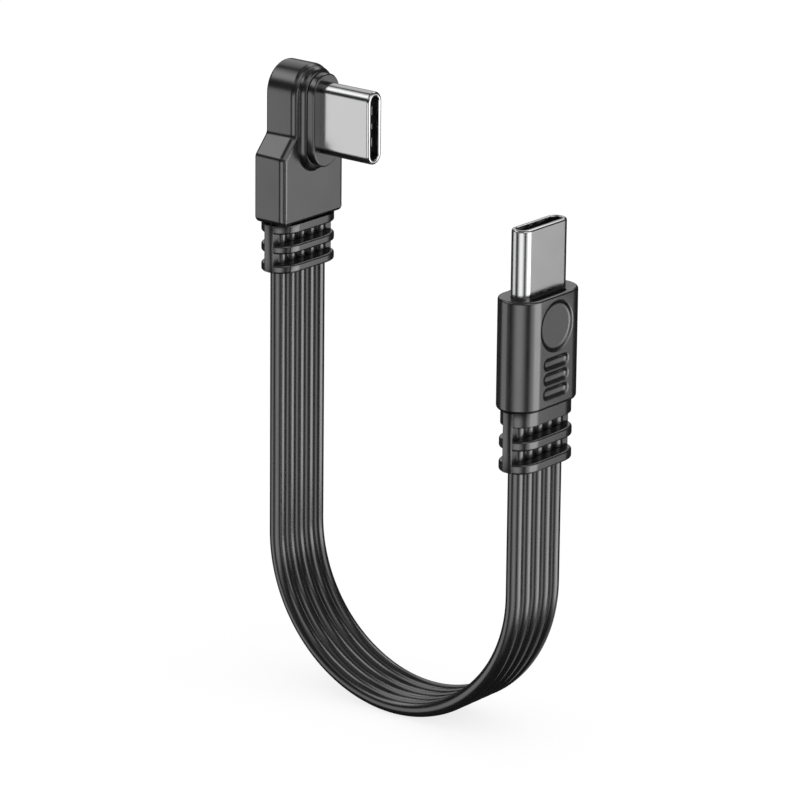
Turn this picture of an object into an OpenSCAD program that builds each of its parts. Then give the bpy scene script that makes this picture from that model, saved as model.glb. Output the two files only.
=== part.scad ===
// Short flat charging cable: a right-angle plug, a five-core ribbon bent in a U and a straight plug.
// Origin: centre of the right-angle plug's flange face. +X leaves along its shell, +Y runs across the
// ribbon and +Z is up. All sizes are in millimetres.

/* [Ribbon] */
// Distance between the two upright legs, centre to centre
leg_spacing = 33.7; // [24:0.1:60]
// Diameter of one round lobe of the ribbon
lobe_d = 1.8; // [1.6:0.05:2.1]
// Distance between neighbouring lobes
lobe_pitch = 1.67; // [1.5:0.01:1.7]
// Diameter of the copper in each lobe
core_d = 0.8; // [0.4:0.05:1]
// Free length of the leg below the right-angle plug
long_leg = 30.7; // [20:0.1:90]
// Free length of the leg below the straight plug
short_leg = 14.55; // [8:0.1:60]

/* [Plug shells] */
// Long side of a plug shell
shell_w = 8.25; // [8.2:0.01:8.4]
// Short side of a plug shell
shell_t = 2.4; // [2.3:0.01:2.5]
// Wall of a plug shell
shell_wall = 0.25; // [0.15:0.01:0.3]
// Length of shell that shows on the right-angle plug
angled_out = 6.5; // [6:0.1:8]
// Length of shell that shows on the straight plug
straight_out = 7.4; // [6.2:0.1:8]
// Length of shell inside the right-angle plug
angled_in = 3.3; // [2.8:0.1:3.3]
// Length of shell inside the straight plug
straight_in = 4.2; // [3:0.1:5]

/* [Contacts] */
// Distance between neighbouring contacts
contact_pitch = 0.5; // [0.45:0.01:0.52]
// Width of a contact
contact_w = 0.24; // [0.15:0.01:0.3]
// Thickness of a contact
contact_t = 0.2; // [0.14:0.01:0.24]
// Long side of the slot between the contact rows
slot_w = 6.8; // [6.4:0.05:6.9]
// Short side of the slot between the contact rows
slot_t = 0.8; // [0.7:0.05:0.9]
// Depth of the slot behind the mouth of the shell
slot_deep = 5.6; // [5:0.1:6]
// How far the contact carrier stays back from the mouth
carrier_recess = 0.5; // [0.3:0.05:1]
// Thickness of the latch plate
latch_t = 0.3; // [0.2:0.01:0.35]
// Thickness of the ground springs
spring_t = 0.12; // [0.08:0.01:0.16]

/* [Right-angle plug] */
// Width of the lower block
block_w = 10.6; // [10.6:0.1:13]
// Depth of the housing, back to front
block_d = 4.3; // [4.3:0.1:6]
// Height of the lower block up to the shoulder
block_h = 7.75; // [7:0.05:12]
// Height of the sloping shoulder
shoulder_h = 2.2; // [1:0.1:4]
// Radius of the round top
crown_r = 3.33; // [3.2:0.01:3.6]
// Height of the round top's centre above the shell's axis
crown_up = 2.54; // [2.3:0.01:3.5]
// Depth of the block's lower edge below the shell's axis
block_drop = 11.85; // [11.6:0.05:18]
// Radius of the block's lower corners
corner_r = 0.75; // [0.2:0.05:1]
// Rounding of the lower corners of the room in the housing
room_corner = 0.2; // [0.1:0.05:0.4]
// How far the collar stands off the housing
collar_out = 0.85; // [0.4:0.05:1.5]
// Width of the collar
collar_w = 5.4; // [5:0.05:5.8]
// Height of the collar
collar_h = 11.7; // [11.2:0.05:12]
// Width of the groove between the collar and the flange
groove_w = 0.1; // [0.05:0.05:0.5]
// Thickness of the flange
flange_t = 0.85; // [0.4:0.05:1.5]
// Width of the flange
flange_w = 4.5; // [3.6:0.05:4.9]
// Height of the flange
flange_h = 10.6; // [9.8:0.05:11.2]
// How far the collar and the flange sit below the shell's axis
collar_drop = 0.25; // [0:0.01:0.25]
// Depth of the groove below the flange's rim
groove_deep = 0.3; // [0.1:0.05:0.35]

/* [Straight plug] */
// Width of the housing
housing_w = 10.9; // [10.8:0.1:13]
// Thickness of the housing
housing_t = 5.3; // [5.2:0.1:7]
// Height of the housing
housing_h = 12.6; // [12.4:0.1:18]
// Length of the trench in the top, in front of the shell
trench_l = 6.1; // [3:0.1:6.4]
// Width of the trench
trench_w = 0.85; // [0.3:0.05:0.95]
// Depth of the trench
trench_deep = 0.5; // [0.1:0.05:0.6]
// Wall between the shell and the trench
trench_wall = 0.12; // [0.08:0.01:0.2]
// Outer diameter of the ring groove on the front
ring_d = 5.7; // [4:0.1:5.8]
// Width of the ring groove
ring_w = 0.5; // [0.2:0.05:0.6]
// Depth of the ring groove and of the grip recesses
mark_deep = 0.3; // [0.1:0.05:0.35]
// Distance from the top down to the ring groove's centre
ring_down = 3.35; // [2.9:0.05:4]
// Length of a grip recess
grip_l = 4.3; // [2:0.1:5]
// Height of a grip recess
grip_h = 1.3; // [0.8:0.05:1.4]
// Distance between grip recesses
grip_pitch = 1.66; // [1.5:0.01:2]
// Distance from the top down to the first grip recess
grip_down = 7.5; // [7.2:0.05:8.5]

/* [Strain reliefs] */
// Width of a strain relief's rings
relief_w = 10.2; // [10:0.05:10.5]
// Thickness of a strain relief's rings
relief_t = 4.4; // [4:0.05:5]
// How far the straight plug's neck stays inside its rings
neck_step = 0.1; // [0:0.05:0.3]
// Height of the neck below the straight plug
neck_h = 1.65; // [1:0.05:4]
// Width of the two rails that join the rings
rail_w = 1.25; // [0.6:0.05:2]
// Height of the ring that meets the right-angle plug's block
angled_top_ring_h = 1.1; // [0.6:0.05:2]
// Height of the other rings on the right-angle plug
angled_ring_h = 1.0; // [0.6:0.05:2]
// Height of a window on the right-angle plug
angled_window_h = 1.25; // [0.8:0.05:2.5]
// Height of a ring on the straight plug
straight_ring_h = 1.15; // [0.6:0.05:2]
// Height of a window on the straight plug
straight_window_h = 1.475; // [0.8:0.025:2.5]

/* [Inside] */
// Wall of the outer housings
wall = 0.75; // [0.6:0.05:0.8]
// Thickness of the circuit boards
board_t = 0.6; // [0.4:0.05:0.62]
// Length of a wire's bare end in its solder joint
joint_l = 1.2; // [0.8:0.1:1.5]
// Diameter of a solder joint
joint_d = 1.3; // [1.2:0.05:1.4]
// Length of a strain relief's root inside its housing
root_l = 1.2; // [0.8:0.1:1.4]
// Long side of the controller chips
chip_l = 1.8; // [1:0.1:2.4]
// Thickness of the controller chips
chip_t = 0.5; // [0.3:0.05:0.6]

/* [Hidden] */
$fn = 64;
// clearance between two pieces that fit
fit = 0.03;
// clearance around the ribbon and its cores
ribbon_fit = 0.08;
core_fit = 0.05;
// how far a cut runs past the face that it opens
over = 1;
// a side that is longer than any piece that it cuts
far = 30;
cores = 5;
contacts = 12;
grips = 3;

// the two leg axes, and the heights along them
flange_back = -flange_t;
collar_front = flange_back - groove_w;
block_front = collar_front - collar_out;
block_back = block_front - block_d;
block_mid = (block_front + block_back) / 2;
// the ribbon leaves the block a little behind its middle
leg_back = 0.15;
leg_x = block_mid - leg_back;
leg2_x = leg_x + leg_spacing;
bend_r = leg_spacing / 2;
block_bottom = -block_drop;
shoulder_bottom = block_bottom + block_h;
shoulder_top = shoulder_bottom + shoulder_h;
angled_relief_h = angled_top_ring_h + 2 * (angled_window_h + angled_ring_h);
relief_bottom = block_bottom - angled_relief_h;
bend_z = relief_bottom - long_leg;
relief2_bottom = bend_z + short_leg;
straight_relief_h = neck_h + 2 * (straight_window_h + straight_ring_h);
housing_bottom = relief2_bottom + straight_relief_h;
housing_top = housing_bottom + housing_h;

// the ribbon's ends inside the two plugs
ribbon_w = (cores - 1) * lobe_pitch + lobe_d;
jacket_top = block_bottom + root_l;
jacket2_top = housing_bottom + root_l;
joint_top = jacket_top + joint_l + core_fit;
joint2_top = jacket2_top + joint_l + core_fit;

// the tunnel of a strain relief, and its root in the housing
tunnel_w = ribbon_w + 2 * ribbon_fit;
tunnel_t = lobe_d + 2 * ribbon_fit;
root_wall = 0.18;
root_w = tunnel_w + 2 * root_wall;
root_t = tunnel_t + 2 * root_wall;

// what lines a shell
carrier_w = shell_w - 2 * shell_wall - 2 * fit;
carrier_t = shell_t - 2 * shell_wall - 2 * fit;
row_proud = 0.08;
row_x = slot_t / 2 - row_proud;
// how far the contacts stay behind the ground springs
contact_gap = 0.3;
spring_w = 5.6;
spring_l = 0.9;
spring_proud = 0.02;
// how far the contact tails reach over a board's face or up to it
straight_tail = 0.8;
angled_tail = -leg_x - board_t / 2 - angled_in - fit;

// the moulded core of each plug
edge_wall = 0.25;
neck_w = flange_w - 2 * groove_deep;
neck_l = flange_h - 2 * groove_deep;
// the boards: as wide as the row of wires, and narrower under the round top
board_w = cores * lobe_pitch;
crown_board_w = 2 * (crown_r - wall - edge_wall);
crown_board_rise = 0.5;
crown_board_top = crown_up + crown_board_rise;
straight_board_top = housing_top - straight_in - fit;
chip_gap = 1;

// ---- outlines ----

// a bar with two full-round ends, long side along Y
module stadium(w, t) {
    square([t, w - t], center = true);
    for (s = [-1, 1]) translate([0, s * (w - t) / 2]) circle(d = t);
}

// an upright prism of a stadium between two heights
module bar(w, t, z0, z1) {
    translate([0, 0, z0]) linear_extrude(z1 - z0) stadium(w, t);
}

// a plug's own frame: +Z leaves through the mouth and Y is the shell's long side
module at_angled() {
    rotate([90, 0, 90]) children();
}

module at_straight() {
    translate([leg2_x, 0, housing_top]) children();
}

// ---- ribbon ----

function lobe_y(i) = (i - (cores - 1) / 2) * lobe_pitch;

// the part's U route for a profile that is thin along X and wide along Y
module along_ribbon(top, top2) {
    translate([leg_x, 0, bend_z]) linear_extrude(top - bend_z) children();
    translate([leg2_x, 0, bend_z]) linear_extrude(top2 - bend_z) children();
    translate([leg_x + bend_r, 0, bend_z])
        rotate([-90, 0, 0])
            rotate_extrude(angle = 180)
                translate([bend_r, 0]) children();
}

module ribbon_jacket() {
    color([0.16, 0.16, 0.165])
        along_ribbon(jacket_top, jacket2_top)
            difference() {
                for (i = [0:cores - 1]) translate([0, lobe_y(i)]) circle(d = lobe_d);
                for (i = [0:cores - 1]) translate([0, lobe_y(i)]) circle(d = core_d + 2 * core_fit);
            }
}

module wire(i) {
    color([0.8, 0.47, 0.28])
        along_ribbon(joint_top - core_fit, joint2_top - core_fit)
            translate([0, lobe_y(i)]) circle(d = core_d);
}

module wire_ground() wire(0);
module wire_power() wire(1);
module wire_data_minus() wire(2);
module wire_data_plus() wire(3);
module wire_channel() wire(4);

// ---- pieces that both plugs have, in the plug's frame, with the housing's face at height 0 ----

module shell(out, inside) {
    color([0.72, 0.72, 0.73])
        difference() {
            bar(shell_w, shell_t, -inside, out);
            bar(shell_w - 2 * shell_wall, shell_t - 2 * shell_wall, -inside - over, out + over);
        }
}

// one contact beam of row s, grown by g on every side for its groove
module contact_beam(out, back, s, i, g = 0) {
    front = out - carrier_recess - spring_l - contact_gap;
    x0 = s > 0 ? row_x : -row_x - contact_t;
    translate([x0 - g, (i - (contacts - 1) / 2) * contact_pitch - contact_w / 2 - g, back - g])
        cube([contact_t + 2 * g, contact_w + 2 * g, front - back + 2 * g]);
}

module contact_row(out, back, s) {
    color([0.83, 0.68, 0.36])
        for (i = [0:contacts - 1]) contact_beam(out, back, s, i);
}

module carrier(out, inside) {
    color([0.06, 0.06, 0.065])
        difference() {
            bar(carrier_w, carrier_t, -inside, out - carrier_recess);
            translate([-slot_t / 2, -slot_w / 2, out - slot_deep])
                cube([slot_t, slot_w, slot_deep + over]);
            for (s = [-1, 1]) for (i = [0:contacts - 1]) contact_beam(out, -inside - over, s, i, fit);
            for (s = [-1, 1]) spring_strip(out, s, fit);
        }
}

// a ground spring's strip at the front of the carrier, grown by g for its seat
module spring_strip(out, s, g = 0) {
    x0 = s > 0 ? slot_t / 2 - spring_proud : -slot_t / 2 + spring_proud - spring_t;
    translate([x0 - g, -spring_w / 2 - g, out - carrier_recess - spring_l - g])
        cube([spring_t + 2 * g, spring_w + 2 * g, spring_l + 2 * g]);
}

// two strips, each with four pads that bear on the mating tongue
module ground_springs(out) {
    pads = 4;
    pad_w = 0.8;
    pad_t = 0.1;
    pad_pitch = 1.45;
    color([0.66, 0.66, 0.67])
        for (s = [-1, 1]) {
            spring_strip(out, s);
            for (i = [0:pads - 1])
                translate([
                    s * (slot_t - pad_t) / 2,
                    (i - (pads - 1) / 2) * pad_pitch,
                    out - carrier_recess - spring_l / 2
                ])
                    cube([pad_t, pad_w, spring_l / 2], center = true);
        }
}

// a flat fork: a bar at the slot's bottom and an arm with a hook along each end of the slot
module latch_plate(out) {
    half = slot_w / 2 - fit;
    arm = 0.3;
    hook = 0.2;
    hook_h = 0.5;
    bar_h = 0.45;
    back_set = 0.4;
    low = out - slot_deep + fit;
    high = out - carrier_recess - back_set;
    color([0.75, 0.75, 0.76])
        translate([latch_t / 2, 0, 0])
            rotate([0, -90, 0])
                linear_extrude(latch_t)
                    polygon([
                        [low, -half], [high, -half], [high, -half + arm],
                        [high - hook_h, -half + arm + hook], [high - 2 * hook_h, -half + arm],
                        [low + bar_h, -half + arm], [low + bar_h, half - arm],
                        [high - 2 * hook_h, half - arm], [high - hook_h, half - arm - hook],
                        [high, half - arm], [high, half], [low, half]
                    ]);
}

// five joints that hold the bare wire ends under a board's lower edge
module solder(x, top) {
    color([0.7, 0.7, 0.72])
        for (i = [0:cores - 1])
            translate([x, lobe_y(i), top - joint_l])
                difference() {
                    cylinder(d = joint_d, h = joint_l);
                    translate([0, 0, -over]) cylinder(d = core_d + 2 * core_fit, h = joint_l + over - fit);
                }
}

// the hole in a housing's lower wall that a strain relief's root goes through
module root_hole(bottom) {
    bar(root_w + 2 * fit, root_t + 2 * fit, bottom - over, bottom + wall + fit);
}

// the room in a moulded core for the solder joints under a board
module joint_room(top) {
    h = joint_l + core_fit;
    w = (cores - 1) * lobe_pitch + joint_d + 2 * fit;
    translate([-joint_d / 2 - fit, -w / 2, top - h]) cube([joint_d + 2 * fit, w, h + fit]);
}

// a controller chip's block on a board's front face, hanging from height 0, grown by g for its seat
module chip_blank(g) {
    translate([board_t / 2 - g, -chip_l / 2 - g, -chip_l - g])
        cube([chip_t + 2 * g, chip_l + 2 * g, chip_l + 2 * g]);
}

// a ladder of rings on two rails around the ribbon's tunnel, with its root in the housing
module relief(top, step_h, ring_h, window_h, first) {
    bottom = top - first - 2 * (window_h + ring_h);
    color([0.2, 0.2, 0.205])
        difference() {
            union() {
                bar(relief_w, relief_t, bottom, top - step_h);
                bar(relief_w - 2 * neck_step, relief_t - 2 * neck_step, bottom, top);
                bar(root_w, root_t, top - first / 2, top + root_l);
            }
            bar(tunnel_w, tunnel_t, bottom - over, top + root_l + over);
            for (i = [0:1]) for (s = [-1, 1])
                translate([
                    s > 0 ? rail_w / 2 : -rail_w / 2 - far,
                    -far / 2,
                    bottom + ring_h + i * (ring_h + window_h)
                ])
                    cube([far, far, window_h]);
        }
}

// ---- right-angle plug ----

// the housing seen along X, drawn in by an inset: 2D x is Y and 2D y is Z
module angled_outline(inset = 0) {
    w = block_w / 2 - inset;
    r = crown_r - inset;
    bottom = block_bottom + inset;
    c = inset > 0 ? room_corner : corner_r;
    polygon([
        [-w, bottom + c], [-w, shoulder_bottom], [-r, shoulder_top], [-r, crown_up],
        [r, crown_up], [r, shoulder_top], [w, shoulder_bottom], [w, bottom + c],
        [w - c, bottom], [-w + c, bottom]
    ]);
    for (s = [-1, 1]) translate([s * (w - c), bottom + c]) circle(r = c);
    translate([0, crown_up]) circle(r = r);
}

// a plate of the housing's outline between two depths
module angled_plate(inset, x0, x1) {
    translate([x0, 0, 0]) rotate([90, 0, 90]) linear_extrude(x1 - x0) angled_outline(inset);
}

// an obround along X between two depths, at the collar's height
module collar_bar(w, t, x0, x1) {
    translate([0, 0, -collar_drop]) rotate([90, 0, 90]) bar(w, t, x0, x1);
}

module angled_housing() {
    color([0.2, 0.2, 0.205])
        difference() {
            union() {
                angled_plate(0, block_back, block_front);
                collar_bar(collar_h, collar_w, block_front - wall, collar_front);
            }
            angled_plate(wall, block_back + wall, block_front - wall);
            collar_bar(neck_l + 2 * fit, neck_w + 2 * fit, block_mid, collar_front + over);
            translate([leg_x, 0, 0]) root_hole(block_bottom);
        }
}

module angled_inner_mould() {
    color([0.12, 0.12, 0.125])
        difference() {
            union() {
                difference() {
                    angled_plate(wall + fit, block_back + wall + fit, block_front - wall - fit);
                    translate([block_back, -far / 2, jacket_top + fit - far]) cube(far);
                }
                collar_bar(neck_l, neck_w, block_mid, flange_back);
                collar_bar(flange_h, flange_w, flange_back, 0);
            }
            at_angled() bar(shell_w + 2 * fit, shell_t + 2 * fit, leg_x + board_t / 2 - fit, over);
            translate([leg_x, 0, 0]) joint_room(joint_top);
            angled_board_blank(fit);
            angled_chip_blank(fit);
        }
}

module angled_strain_relief() {
    translate([leg_x, 0, 0])
        relief(block_bottom, 0, angled_ring_h, angled_window_h, angled_top_ring_h);
}

module angled_shell() at_angled() shell(angled_out, angled_in);
module angled_carrier() at_angled() carrier(angled_out, angled_in);
module angled_contacts_left() at_angled() contact_row(angled_out, -angled_in - angled_tail, -1);
module angled_contacts_right() at_angled() contact_row(angled_out, -angled_in - angled_tail, 1);
module angled_latch_plate() at_angled() latch_plate(angled_out);
module angled_ground_springs() at_angled() ground_springs(angled_out);

// the angled board stands across the shell's axis, grown by g for its seat
module angled_board_blank(g = 0) {
    w = board_w / 2 + g;
    r = crown_board_w / 2 + g;
    translate([leg_x - board_t / 2 - g, 0, 0])
        rotate([90, 0, 90])
            linear_extrude(board_t + 2 * g)
                polygon([
                    [-w, joint_top - g], [w, joint_top - g],
                    [w, shoulder_bottom - edge_wall], [r, shoulder_top - edge_wall],
                    [r, crown_board_top + g], [-r, crown_board_top + g],
                    [-r, shoulder_top - edge_wall], [-w, shoulder_bottom - edge_wall]
                ]);
}

module angled_board() color([0.07, 0.3, 0.16]) angled_board_blank();

module angled_chip_blank(g = 0) {
    translate([leg_x, 0, shoulder_bottom - chip_gap]) chip_blank(g);
}

module angled_chip() color([0.03, 0.03, 0.035]) translate([fit, 0, 0]) angled_chip_blank();
module angled_solder() solder(leg_x, joint_top);

// ---- straight plug ----

module straight_housing() {
    color([0.2, 0.2, 0.205])
        translate([leg2_x, 0, 0])
            difference() {
                bar(housing_w, housing_t, housing_bottom, housing_top);
                bar(housing_w - 2 * wall, housing_t - 2 * wall,
                    housing_bottom + wall, housing_top - wall - trench_deep);
                bar(shell_w + 2 * fit, shell_t + 2 * fit, housing_top - housing_h / 2, housing_top + over);
                translate([shell_t / 2 + fit + trench_wall, -trench_l / 2, housing_top - trench_deep])
                    cube([trench_w, trench_l, trench_deep + over]);
                root_hole(housing_bottom);
                translate([housing_t / 2 - mark_deep, 0, housing_top - ring_down])
                    rotate([0, 90, 0])
                        difference() {
                            cylinder(d = ring_d, h = over);
                            translate([0, 0, -over]) cylinder(d = ring_d - 2 * ring_w, h = 3 * over);
                        }
                for (i = [0:grips - 1])
                    translate([housing_t / 2 - mark_deep, 0, housing_top - grip_down - i * grip_pitch])
                        rotate([90, 0, 90])
                            linear_extrude(over)
                                rotate(90) stadium(grip_l, grip_h);
            }
}

module straight_inner_mould() {
    tails = [2 * (row_x + contact_t + fit), contacts * contact_pitch, straight_tail + over];
    color([0.12, 0.12, 0.125])
        translate([leg2_x, 0, 0])
            difference() {
                bar(housing_w - 2 * wall - 2 * fit, housing_t - 2 * wall - 2 * fit,
                    jacket2_top + fit, housing_top - wall - trench_deep - fit);
                joint_room(joint2_top);
                bar(shell_w + 2 * fit, shell_t + 2 * fit, housing_top - straight_in - fit, housing_top);
                straight_board_blank(fit);
                straight_chip_blank(fit);
                translate([-tails[0] / 2, -tails[1] / 2, housing_top - straight_in - straight_tail - fit])
                    cube(tails);
            }
}

module straight_strain_relief() {
    translate([leg2_x, 0, 0])
        relief(housing_bottom, neck_h, straight_ring_h, straight_window_h, neck_h);
}

module straight_shell() at_straight() shell(straight_out, straight_in);
module straight_carrier() at_straight() carrier(straight_out, straight_in);
module straight_contacts_back() at_straight() contact_row(straight_out, -straight_in - straight_tail, -1);
module straight_contacts_front() at_straight() contact_row(straight_out, -straight_in - straight_tail, 1);
module straight_latch_plate() at_straight() latch_plate(straight_out);
module straight_ground_springs() at_straight() ground_springs(straight_out);

module straight_board_blank(g = 0) {
    translate([-board_t / 2 - g, -board_w / 2 - g, joint2_top - g])
        cube([board_t + 2 * g, board_w + 2 * g, straight_board_top - joint2_top + 2 * g]);
}

module straight_board() color([0.07, 0.3, 0.16]) translate([leg2_x, 0, 0]) straight_board_blank();

module straight_chip_blank(g = 0) {
    translate([0, 0, straight_board_top - straight_tail - chip_gap]) chip_blank(g);
}

module straight_chip() color([0.03, 0.03, 0.035]) translate([leg2_x + fit, 0, 0]) straight_chip_blank();
module straight_solder() solder(leg2_x, joint2_top);

ribbon_jacket();
wire_ground();
wire_power();
wire_data_minus();
wire_data_plus();
wire_channel();
angled_housing();
angled_inner_mould();
angled_strain_relief();
angled_shell();
angled_carrier();
angled_contacts_left();
angled_contacts_right();
angled_latch_plate();
angled_ground_springs();
angled_board();
angled_chip();
angled_solder();
straight_housing();
straight_inner_mould();
straight_strain_relief();
straight_shell();
straight_carrier();
straight_contacts_back();
straight_contacts_front();
straight_latch_plate();
straight_ground_springs();
straight_board();
straight_chip();
straight_solder();
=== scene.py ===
"""Dresses the flat charging cable: ribbon, wires, housings, strain reliefs, shells and studio."""

import math

import bmesh
import bpy
from bpy.props import FloatProperty, FloatVectorProperty, IntProperty, PointerProperty
from mathutils import Matrix, Vector


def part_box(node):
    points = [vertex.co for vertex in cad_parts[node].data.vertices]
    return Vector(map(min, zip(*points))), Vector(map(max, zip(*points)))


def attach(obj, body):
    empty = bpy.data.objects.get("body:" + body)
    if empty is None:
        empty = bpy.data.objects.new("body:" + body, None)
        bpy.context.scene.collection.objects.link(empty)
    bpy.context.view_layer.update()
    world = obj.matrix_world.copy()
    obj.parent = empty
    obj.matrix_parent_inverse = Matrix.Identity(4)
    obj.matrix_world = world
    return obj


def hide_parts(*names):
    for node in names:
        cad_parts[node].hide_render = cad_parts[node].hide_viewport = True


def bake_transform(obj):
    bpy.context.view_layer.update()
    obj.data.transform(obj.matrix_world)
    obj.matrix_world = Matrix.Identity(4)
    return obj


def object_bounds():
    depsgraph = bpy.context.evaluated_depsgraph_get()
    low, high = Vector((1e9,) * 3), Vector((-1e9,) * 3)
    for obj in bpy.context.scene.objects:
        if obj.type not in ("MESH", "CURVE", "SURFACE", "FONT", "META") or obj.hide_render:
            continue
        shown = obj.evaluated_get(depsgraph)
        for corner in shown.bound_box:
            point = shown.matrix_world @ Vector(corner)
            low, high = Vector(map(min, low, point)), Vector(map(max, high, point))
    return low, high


bl_info = {
    "name": "Flat charging cable",
    "version": (1, 0, 0),
    "blender": (4, 5, 0),
    "location": "3D View > Sidebar > Charging cable",
    "description": "Makes the pieces and the studio of a short flat charging cable",
    "category": "Add Mesh",
}

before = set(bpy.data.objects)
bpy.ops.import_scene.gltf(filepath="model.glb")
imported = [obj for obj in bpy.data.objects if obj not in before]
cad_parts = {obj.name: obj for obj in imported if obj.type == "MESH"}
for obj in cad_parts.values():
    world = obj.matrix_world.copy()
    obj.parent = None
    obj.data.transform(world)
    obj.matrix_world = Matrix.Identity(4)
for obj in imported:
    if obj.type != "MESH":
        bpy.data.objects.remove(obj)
CAD_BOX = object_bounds()

MM = 0.001
QUARTER = 12  # segments in a quarter turn of an outline
ROUND = 6  # segments across a rounded edge
BEND = 72  # segments round the ribbon's bend
OVER = 1.0 * MM  # how far a cut runs past the face that it opens
FULL_ROUND = 0.9999  # share of a full round end, so that its two corners don't share a point

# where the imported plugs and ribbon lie
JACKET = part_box("ribbon_jacket")
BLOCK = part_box("angled_housing")
ANGLED_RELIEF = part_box("angled_strain_relief")
ANGLED_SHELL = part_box("angled_shell")
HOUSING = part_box("straight_housing")
STRAIGHT_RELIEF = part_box("straight_strain_relief")
STRAIGHT_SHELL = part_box("straight_shell")
RIBBON_ENDS = ANGLED_RELIEF[1].z, STRAIGHT_RELIEF[1].z


def length(default, name, description, low=0.0):
    """A length property with its default in millimetres."""
    return FloatProperty(
        name=name, description=description, default=default * MM, min=low, precision=5, unit="LENGTH"
    )


def height(default, name, description):
    """A place along an axis in millimetres, which may lie below the origin."""
    return length(default, name, description, -10.0)


def degrees(default, name, description, low=-180.0, high=180.0):
    """An angle property with its default and limits in degrees."""
    low, default, high = (math.radians(value) for value in (low, default, high))
    return FloatProperty(
        name=name, description=description, default=default, min=low, max=high, subtype="ANGLE"
    )


def finish(default, name, description):
    """A colour property."""
    return FloatVectorProperty(
        name=name, description=description, default=default, min=0.0, max=1.0, size=3, subtype="COLOR"
    )


def share(default, name, description):
    """A property from 0 to 1."""
    return FloatProperty(name=name, description=description, default=default, min=0.0, max=1.0)


class RibbonSizes(bpy.types.PropertyGroup):
    """Sizes of the flat ribbon and its cores."""

    lobes: IntProperty(name="Lobes", description="Round lobes side by side", default=5, min=2, max=9)
    lobe: length(1.8, "Lobe diameter", "Diameter of one lobe of the jacket")
    pitch: length(1.67, "Lobe pitch", "From lobe to lobe")
    core: length(0.8, "Core diameter", "Diameter of the copper in a lobe")
    bend: height(-48.15, "Bend height", "Where the legs run into the bend")
    wire_end: length(1.2, "Wire end", "Wire beyond the jacket")


class AngledPlugSizes(bpy.types.PropertyGroup):
    """Sizes of the right-angle plug's housing and flange."""

    face: height(-1.8, "Front face", "Place of the housing's front face")
    corner: length(0.75, "Lower corner", "Radius of the lower corners")
    shoulder_low: height(-4.1, "Shoulder bottom", "Where the shoulder starts")
    shoulder_high: height(-1.9, "Shoulder top", "Where the shoulder ends")
    shoulder_round: length(0.85, "Shoulder rounding", "Radius of the shoulder's corners")
    crown: length(3.33, "Crown radius", "Radius of the round top")
    edge: length(0.7, "Edge rounding", "Radius of the front rim")
    foot_edge: length(0.45, "Foot rounding", "Radius of the lower rims")
    back_edge: length(0.5, "Back rounding", "Radius of the back rim")
    collar_w: length(5.4, "Collar width", "Width of the collar")
    collar_h: length(11.7, "Collar height", "Height of the collar")
    collar_edge: length(0.7, "Collar rounding", "Radius of the collar's front rim")
    collar_foot: length(0.38, "Collar foot", "Fillet at the collar's foot")
    drop: length(0.25, "Drop", "Collar and flange below the shell's axis")
    neck_w: length(3.96, "Neck opening width", "Width of the hole in the collar")
    neck_h: length(10.06, "Neck opening height", "Height of the hole in the collar")
    flange_w: length(4.5, "Flange width", "Width of the flange")
    flange_h: length(10.6, "Flange height", "Height of the flange")
    flange_t: length(0.91, "Flange thickness", "Thickness of the flange")
    flange_edge: length(0.2, "Flange rounding", "Radius of the flange's front rim")


class StraightPlugSizes(bpy.types.PropertyGroup):
    """Sizes of the straight plug's housing and its marks."""

    foot_edge: length(0.46, "Foot rounding", "Radius of the housing's lower rim")
    top_edge: length(0.3, "Top rounding", "Radius of the housing's upper rim")
    trench_l: length(6.05, "Trench length", "Length of the trench in front of the shell")
    trench_shift: length(0.425, "Trench shift", "Shift of the trench towards the front end")
    trench_w: length(0.75, "Trench width", "Width of the trench")
    trench_deep: length(0.5, "Trench depth", "Depth of the trench")
    trench_wall: length(0.22, "Trench wall", "Wall between the shell and the trench")
    trench_end: length(0.3, "Trench corner", "Radius of the corner at the front end")
    trench_close: length(0.6, "Trench far corner", "Radius of the corner at the far end")
    ring: length(6.0, "Round recess", "Outer diameter of the round recess")
    mark_round: length(0.56, "Mark rounding", "Radius of a recess's lip and floor edge")
    mark_slope: degrees(37, "Mark slope", "Steepest slope of a recess", 10, 80)
    ring_down: length(3.45, "Round recess place", "Top to the round recess's centre")
    grips: IntProperty(name="Grips", description="Grip recesses below the round one", default=3, min=0, max=6)
    grip_l: length(4.7, "Grip length", "Length of a grip recess")
    grip_h: length(1.64, "Grip height", "Height of a grip recess")
    grip_pitch: length(1.66, "Grip pitch", "From grip to grip")
    grip_down: length(7.5, "Grip place", "Top to the first grip recess")


class ReliefSizes(bpy.types.PropertyGroup):
    """Sizes of the ringed strain reliefs."""

    wide: length(10.2, "Width", "Width of the rings")
    thick: length(4.6, "Thickness", "Thickness of the rings")
    end: length(2.2, "End radius", "Radius of the rings' round ends")
    lean: degrees(20, "Lean", "Angle of a round end to the crowned face", 5, 40)
    tunnel_w: length(8.64, "Tunnel width", "Width of the ribbon's tunnel")
    tunnel_t: length(1.96, "Tunnel thickness", "Thickness of the ribbon's tunnel")
    root_wall: length(0.18, "Root wall", "Wall of the root in the housing")
    rail: length(1.25, "Rail width", "Width of the rails")
    edge: length(0.26, "Ring rounding", "Radius of the rings' edges")
    rail_proud: length(0.08, "Rail height", "Rails beyond the rings")
    rail_edge: length(0.14, "Rail rounding", "Radius of the rails' outer edges")
    angled_ring: length(1.0, "Right-angle ring", "Height of its relief's rings")
    angled_window: length(1.25, "Right-angle window", "Height of its relief's windows")
    straight_ring: length(1.15, "Straight ring", "Height of its relief's rings")
    straight_window: length(1.475, "Straight window", "Height of its relief's windows")
    neck_step: length(0.1, "Neck step", "Neck inside its rings")
    neck: length(1.65, "Neck height", "Height of the straight plug's neck")


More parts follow.
